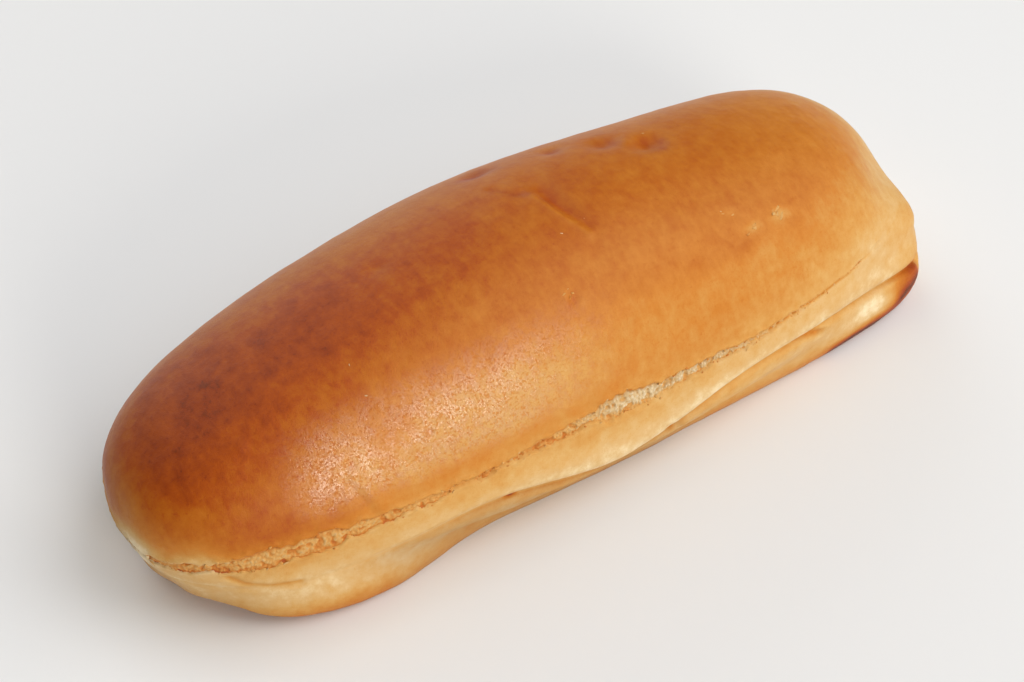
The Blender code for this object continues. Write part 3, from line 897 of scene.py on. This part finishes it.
# %% Scuffs, specks and painted glints: place in mm, how many, size in mm, bake
SCUFFS = {
    "bright scuff": (45.6, -19.6, 36.9, 6, 1.9, 0.27),
    "scuff before it": (38.8, -20.2, 37.4, 4, 1.5, 0.32),
    "small scuff above": (35.6, -16.4, 40.4, 3, 1.0, 0.27),
    "edge of the burst blister": (-3.6, -18.2, 42.8, 4, 0.9, 0.30),
    # painted highlights: tiny pale chips that stand in for glints
    "painted glint on the dark flank": (-45, -9.6, 42.8, 1, 0.6, 0.08),
    "second painted glint": (-45.6, -15.4, 40, 1, 0.6, 0.12),
    "painted glint over the deep dimple": (35.3, 8.7, 43.1, 1, 0.6, 0.05),
    "speck on the crest": (2.3, -8.3, 47.2, 1, 0.6, 0.10),
    "speck beside the scar": (8.5, -7.4, 47, 1, 0.5, 0.15),
}
CHIP_THICKNESS, CHIP_WIDTH_SHARE, CHIP_SCATTER = 0.03 * MM, 0.4, 0.8 * MM
for x, y, z, count, size, baked in SCUFFS.values():
    for _ in range(count):
        place = np.array([x, y, z]) * MM + (count > 1) * CHIP_SCATTER * rng.normal(size=3)
        away = np.linalg.norm(form - place, axis=-1)
        row, column = np.unravel_index(np.argmin(away), away.shape)
        length = size * MM * rng.uniform(0.7, 1.3)
        width = CHIP_WIDTH_SHARE * length
        set_flake(row, column, length, width, CHIP_THICKNESS, baked + 0.05 * rng.normal())
flake_values = {"bake": np.concatenate(flake_bakes)}
flakes = add_mesh("crust_flakes", np.concatenate(flake_points), flake_shapes, flake_values)
print("flakes in all:", len(flake_points))

# %% The pieces stand where the solid stands
MIDDLE = np.array([0.60, 1.03, 0]) * MM
for piece in (crust, crumb, flakes):
    points = np.empty(len(piece.data.vertices) * 3, np.float32)
    piece.data.vertices.foreach_get("co", points)
    placed = points.reshape(-1, 3) - MIDDLE
    piece.data.vertices.foreach_set("co", placed.astype(np.float32).reshape(-1))
    piece.data.update()
    low, high = (placed.min(axis=0) / MM).round(1), (placed.max(axis=0) / MM).round(1)
    print(piece.name, "from", low, "to", high)
low, high = ([round(v / MM, 1) for v in corner] for corner in cad_box)
print("solid from", low, "to", high)

# %% [markdown]
# ## Finishes
#
# The crust's colour comes from the bake number through a ramp. That ramp, and the tiny pits of a
# fermented dough's skin, serve the crumb as well, so they are node groups with named sockets. The
# groups hand over colours and heights only, and the shader stays in each material.

# %% Nodes, links and empty groups
FLOAT, COLOUR = "NodeSocketFloat", "NodeSocketColor"


def node(tree, kind, **values):
    made = tree.nodes.new(kind)
    for key, value in values.items():
        setattr(made, key, value)
    return made


def link(tree, pairs):
    for out_socket, in_socket in pairs:
        tree.links.new(out_socket, in_socket)


def group(name, inputs, outputs):
    """Empty node group with these sockets, and its two end nodes."""
    tree = bpy.data.node_groups.new(name, "ShaderNodeTree")
    for socket, kind, value in inputs:
        tree.interface.new_socket(socket, in_out="INPUT", socket_type=kind).default_value = value
    for socket, kind in outputs:
        tree.interface.new_socket(socket, in_out="OUTPUT", socket_type=kind)
    return tree, node(tree, "NodeGroupInput"), node(tree, "NodeGroupOutput")


print("Blender", bpy.app.version_string, "makes a group's sockets through its interface")

# %% Group: bake to colour
BAKE_COLOURS = (
    (0.00, (0.84, 0.70, 0.46)),
    (0.10, (0.71, 0.51, 0.26)),
    (0.16, (0.65, 0.41, 0.17)),
    (0.25, (0.62, 0.345, 0.105)),
    (0.33, (0.59, 0.285, 0.065)),
    (0.40, (0.56, 0.235, 0.042)),
    (0.48, (0.54, 0.19, 0.022)),
    (0.57, (0.49, 0.152, 0.012)),
    (0.66, (0.44, 0.114, 0.006)),
    (0.76, (0.37, 0.068, 0.004)),
    (0.86, (0.27, 0.042, 0.004)),
    (0.94, (0.14, 0.026, 0.004)),
    (1.00, (0.06, 0.014, 0.004)),
)
scale_tree, scale_in, scale_out = group("bake scale", [("Bake", FLOAT, 0.5)], [("Colour", COLOUR)])
ramp = node(scale_tree, "ShaderNodeValToRGB")
for k, (position, colour) in enumerate(BAKE_COLOURS):
    stop = ramp.color_ramp.elements[k] if k < 2 else ramp.color_ramp.elements.new(position)
    stop.position, stop.color = position, (*colour, 1)
link(scale_tree, [
    (scale_in.outputs["Bake"], ramp.inputs[0]),
    (ramp.outputs[0], scale_out.inputs["Colour"]),
])
print("the ramp has", len(ramp.color_ramp.elements), "stops, from cream to near-black")

# %% Sums, soft steps and noise as nodes
MM_PER_METRE = 1000


def feed(tree, socket, value):
    """Link another node's output to this socket, or set it to a plain number or colour."""
    if isinstance(value, bpy.types.NodeSocket):
        tree.links.new(value, socket)
    else:
        socket.default_value = value


def math_node(tree, operation, *values):
    made = node(tree, "ShaderNodeMath", operation=operation)
    for value, socket in zip(values, made.inputs):
        feed(tree, socket, value)
    return made.outputs[0]


def soft_step(tree, value, start, stop, low=0.0, high=1.0):
    """Low up to the start, high from the stop on, and smooth between them."""
    made = node(tree, "ShaderNodeMapRange", interpolation_type="SMOOTHSTEP")
    names = ("Value", "From Min", "From Max", "To Min", "To Max")
    for name, number in zip(names, (value, start, stop, low, high)):
        feed(tree, made.inputs[name], number)
    return made.outputs[0]


def noise_in_mm(tree, vector, size, **settings):
    """Noise over a vector in metres, with bumps whose size is given in millimetres."""
    made = node(tree, "ShaderNodeTexNoise")
    feed(tree, made.inputs["Vector"], vector)
    feed(tree, made.inputs["Scale"], math_node(tree, "DIVIDE", MM_PER_METRE, size))
    for name, value in settings.items():
        made.inputs[name].default_value = value
    return made.outputs["Fac"]


print("bumps of 0.4 mm take a noise scale of", round(MM_PER_METRE / 0.4))

# %% Group: fine pits of the skin
PIT_EDGE = 0.12
pits_tree, pits_in, pits_out = group(
    "skin pits",
    [("Size mm", FLOAT, 0.4), ("Sparseness", FLOAT, 0.5)],
    [("Pits", FLOAT), ("Grain", FLOAT)],
)
where = node(pits_tree, "ShaderNodeTexCoord").outputs["Object"]
grain = noise_in_mm(pits_tree, where, pits_in.outputs["Size mm"], Detail=2.5, Roughness=0.6)
sparseness = pits_in.outputs["Sparseness"]
pit_bottom = math_node(pits_tree, "ADD", sparseness, PIT_EDGE)
pits = soft_step(pits_tree, grain, sparseness, pit_bottom)
link(pits_tree, [(pits, pits_out.inputs["Pits"]), (grain, pits_out.inputs["Grain"])])
print("group:", pits_tree.name)

# %% Group: strokes of the egg wash
stroke_tree, stroke_in, stroke_out = group(
    "egg-wash strokes",
    [("Width mm", FLOAT, 0.8), ("Stretch", FLOAT, 0.22)],
    [("Strokes", FLOAT)],
)
long_way = node(stroke_tree, "ShaderNodeCombineXYZ")
long_way.inputs["X"].default_value = 1
stretched = node(stroke_tree, "ShaderNodeVectorMath", operation="MULTIPLY")
link(stroke_tree, [
    (stroke_in.outputs["Stretch"], long_way.inputs["Y"]),
    (stroke_in.outputs["Stretch"], long_way.inputs["Z"]),
    (node(stroke_tree, "ShaderNodeTexCoord").outputs["Object"], stretched.inputs[0]),
    (long_way.outputs[0], stretched.inputs[1]),
])
stroke_width = stroke_in.outputs["Width mm"]
hairs = noise_in_mm(stroke_tree, stretched.outputs[0], stroke_width, Detail=3, Distortion=0.4)
link(stroke_tree, [(hairs, stroke_out.inputs["Strokes"])])
print("group:", stroke_tree.name)

# %% [markdown]
# ## The baked crust's finish
#
# Egg wash bakes to an even satin, brushed along the bun. Low on the torn side it blistered into a
# patch that gleams in fine dots. A photograph could be laid over the mesh for this, but it would
# carry its own light with it. Here the bake number gets pits, flecks and strokes of real size, and
# only the patch gets a clear coat, broken up by the same stipple that pits its bump.

# %% Crust: its masks and its grains
def new_material(name):
    material = bpy.data.materials.new(name)
    material.use_nodes = True
    return material, material.node_tree, material.node_tree.nodes["Principled BSDF"]


def use_group(tree, made, **values):
    """Place a group, with these values or links at its named sockets."""
    placed = node(tree, "ShaderNodeGroup", node_tree=made)
    for key, value in values.items():
        feed(tree, placed.inputs[key.replace("_", " ")], value)
    return placed


crust_material, tree, shader = new_material("egg-washed brioche crust")
bake_value, glaze_value, patch_value, foot_shade_value = [
    node(tree, "ShaderNodeAttribute", attribute_name=name).outputs["Fac"]
    for name in ("bake", "glaze", "blistered", "foot_shade")
]
fine = use_group(tree, pits_tree, Size_mm=0.3, Sparseness=0.54)
broad = use_group(tree, pits_tree, Size_mm=2.0, Sparseness=0.6)
stipple = use_group(tree, pits_tree, Size_mm=0.42, Sparseness=0.52)
flecks = use_group(tree, pits_tree, Size_mm=1.1, Sparseness=0.6)
strokes = use_group(tree, stroke_tree, Width_mm=0.9, Stretch=0.25)
stippled = math_node(tree, "MULTIPLY", stipple.outputs["Pits"], patch_value)
flecked = math_node(tree, "MULTIPLY", flecks.outputs["Pits"], glaze_value)
print("masks on the crust:", [a.name for a in crust.data.attributes if a.data_type == "FLOAT"])

# %% Crust: its colour. Each effect moves the bake number by its weight.
STROKES_ON_BARE_SKIN, STROKES_FROM_WASH = 0.02, 0.075
MEAN_OF_GRAINS = 0.13
FOOT_SHADE_TINT = (0.84, 0.94, 1.3, 1)


def add_up(tree, start, *terms):
    """The start, plus every value times its weight."""
    for value, weight in terms:
        start = math_node(tree, "MULTIPLY_ADD", value, weight, start)
    return start


def tinted(tree, share, colour, tint):
    """The colour, multiplied by the tint as far as the share says."""
    made = node(tree, "ShaderNodeMix", data_type="RGBA", blend_type="MULTIPLY")
    for place, value in ((0, share), (6, colour), (7, tint)):
        feed(tree, made.inputs[place], value)
    return made.outputs[2]


stroke_depth = add_up(tree, STROKES_ON_BARE_SKIN, (glaze_value, STROKES_FROM_WASH))
mottled = add_up(
    tree,
    bake_value,
    (fine.outputs["Pits"], 0.04),
    (stippled, 0.13),
    (patch_value, -0.12),
    (broad.outputs["Grain"], 0.22),
    (flecked, 0.045),
    (strokes.outputs["Strokes"], stroke_depth),
    (glaze_value, -0.037),
)
mottled = math_node(tree, "SUBTRACT", mottled, MEAN_OF_GRAINS)
colour = use_group(tree, scale_tree, Bake=mottled).outputs["Colour"]
# the foot's painted shade greys the colour there
feed(tree, shader.inputs["Base Color"], tinted(tree, foot_shade_value, colour, FOOT_SHADE_TINT))
print("the grains are centred by taking off", MEAN_OF_GRAINS)

# %% Crust: satin egg wash, and the clear coat of the blistered patch
BARE_ROUGHNESS, SMOOTHED_BY_WASH = 0.60, -0.16
LOST_IN_PITS = -0.9

roughness = add_up(tree, BARE_ROUGHNESS, (glaze_value, SMOOTHED_BY_WASH))
clumps = soft_step(tree, broad.outputs["Grain"], 0.42, 0.56, 0.36, 0.85)
between_pits = add_up(tree, 1.0, (stipple.outputs["Pits"], LOST_IN_PITS))
broken = math_node(tree, "MULTIPLY", patch_value, between_pits)
shine = math_node(tree, "MULTIPLY", broken, clumps)
link(tree, [(roughness, shader.inputs["Roughness"]), (shine, shader.inputs["Coat Weight"])])
shader.inputs["Coat Roughness"].default_value = 0.25
shader.inputs["Coat IOR"].default_value = 1.9
shader.inputs["Sheen Weight"].default_value = 0.07
shader.inputs["Sheen Roughness"].default_value = 0.25
shader.inputs["Specular IOR Level"].default_value = 0.2
print("roughness from", round(BARE_ROUGHNESS + SMOOTHED_BY_WASH, 2), "to", BARE_ROUGHNESS)

# %% Crust: its bump
CRUST_BUMP = 0.075 * MM


def add_bump(tree, shader, height, distance, normals):
    """Bump of this height on the shader's named normals."""
    bump = node(tree, "ShaderNodeBump")
    bump.inputs["Distance"].default_value = distance
    feed(tree, bump.inputs["Height"], height)
    link(tree, [(bump.outputs[0], shader.inputs[name]) for name in normals])


pitted = add_up(tree, fine.outputs["Grain"], (fine.outputs["Pits"], -0.3))
height = add_up(tree, pitted, (broad.outputs["Grain"], 1.2))
height = math_node(tree, "MULTIPLY", height, add_up(tree, 1.0, (patch_value, 0.2)))
height = add_up(tree, height, (stippled, -0.35))
add_bump(tree, shader, height, CRUST_BUMP, ("Normal", "Coat Normal"))
crust.data.materials.append(crust_material)
print("the crust's material has", len(tree.nodes), "nodes")

# %% [markdown]
# ## The torn crumb's finish
#
# Crumb has no wash on it, so it is matt. It shares the bake scale and the pits with the crust, with
# wider pits, and its palest lumps are greyed a little, because they stand in the shade of the lips.

# %% Crumb and flakes: colour and bump
CRUMB_BUMP, CRUMB_PIT_BAKE = 0.15 * MM, 0.08
SHADE_TINT = (0.82, 0.80, 0.80, 1)

crumb_material, tree, shader = new_material("torn brioche crumb")
crumb_value = node(tree, "ShaderNodeAttribute", attribute_name="bake").outputs["Fac"]
holes = use_group(tree, pits_tree, Size_mm=0.5, Sparseness=0.55)
crumb_tone = add_up(tree, crumb_value, (holes.outputs["Pits"], CRUMB_PIT_BAKE))
colour = use_group(tree, scale_tree, Bake=crumb_tone).outputs["Colour"]
# painted shade: the palest crumb is greyed
pale_in_shade = soft_step(tree, crumb_value, 0.30, 0.10)
feed(tree, shader.inputs["Base Color"], tinted(tree, pale_in_shade, colour, SHADE_TINT))
shader.inputs["Roughness"].default_value = 0.75
add_bump(tree, shader, holes.outputs["Grain"], CRUMB_BUMP, ("Normal",))
crumb.data.materials.append(crumb_material)
flakes.data.materials.append(crumb_material)
print("the crumb's material has", len(tree.nodes), "nodes")

# %% [markdown]
# ## Stage
#
# A plain pale floor, large soft lights and the camera at the photograph's angle: an 80 mm lens,
# looking down at 45 degrees from the torn side.

# %% Floor
FLOOR_SIZE = 12
bpy.ops.mesh.primitive_plane_add(size=FLOOR_SIZE)
floor = bpy.context.object
floor.name = "floor"
floor_material, tree, shader = new_material("pale floor")
shader.inputs["Base Color"].default_value = (0.80, 0.80, 0.80, 1)
shader.inputs["Roughness"].default_value = 0.8
floor.data.materials.append(floor_material)
print("the floor is", FLOOR_SIZE, "m wide")

# %% Camera
def towards(azimuth, elevation):
    """Unit vector at these angles in degrees. Azimuth 0 is in front (-Y), and grows towards +X."""
    a, e = math.radians(azimuth), math.radians(elevation)
    return Vector((math.sin(a) * math.cos(e), -math.cos(a) * math.cos(e), math.sin(e)))


AIM = Vector((-4.54, -2.83, 18)) * MM
AZIMUTH, ELEVATION, DISTANCE = -36.48, 45, 434.93 * MM
back = towards(AZIMUTH, ELEVATION)
camera_data = bpy.data.cameras.new("camera")
camera_data.lens, camera_data.sensor_width = 80, 36
camera_data.clip_start = 0.01
camera = bpy.data.objects.new("camera", camera_data)
camera.location = AIM + back * DISTANCE
camera.rotation_euler = (-back).to_track_quat("-Z", "Y").to_euler()
bpy.context.collection.objects.link(camera)
bpy.context.scene.camera = camera
print("the camera stands", round(DISTANCE, 2), "m away and looks down at", ELEVATION, "degrees")

# %% Soft studio light: azimuth, elevation, distance, size and power of each soft box, its colour
SOFTBOXES = {
    "broad right front": (62, 50, 4.8, 5.2, 168, (1, 1, 1)),
    "broad front": (20, 50, 4.8, 5.2, 87, (1, 1, 1)),
    "broad behind": (185, 50, 4.8, 5.2, 80, (1, 1, 1)),
    "left fill": (270, 50, 4.8, 5.2, 3, (1, 1, 1)),
    "low window": (-7, 18, 4.0, 1.6, 82, (1.0, 0.95, 0.85)),
    "low behind": (170, 16, 4.8, 4.0, 66, (1, 1, 1)),
}
for name, (azimuth, elevation, distance, size, power, tone) in SOFTBOXES.items():
    data = bpy.data.lights.new(name, "AREA")
    data.size, data.energy, data.color = size, power, tone
    light = bpy.data.objects.new(name, data)
    direction = towards(azimuth, elevation)
    light.location = direction * distance
    light.rotation_euler = direction.to_track_quat("Z", "Y").to_euler()
    bpy.context.collection.objects.link(light)
print(len(SOFTBOXES), "soft boxes,", sum(values[4] for values in SOFTBOXES.values()), "W in all")

# %% Light of the room
ROOM_LIGHT = 0.02
world = bpy.data.worlds.new("room")
bpy.context.scene.world = world
world.use_nodes = True
world.node_tree.nodes["Background"].inputs["Color"].default_value = (1, 1, 1, 1)
world.node_tree.nodes["Background"].inputs["Strength"].default_value = ROOM_LIGHT
bpy.context.scene.view_settings.view_transform = "Standard"
print("the room adds", ROOM_LIGHT)

# %% Hand the pieces to the frame
for piece in (crust, crumb, flakes):
    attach(piece, "root")
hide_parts("bun")
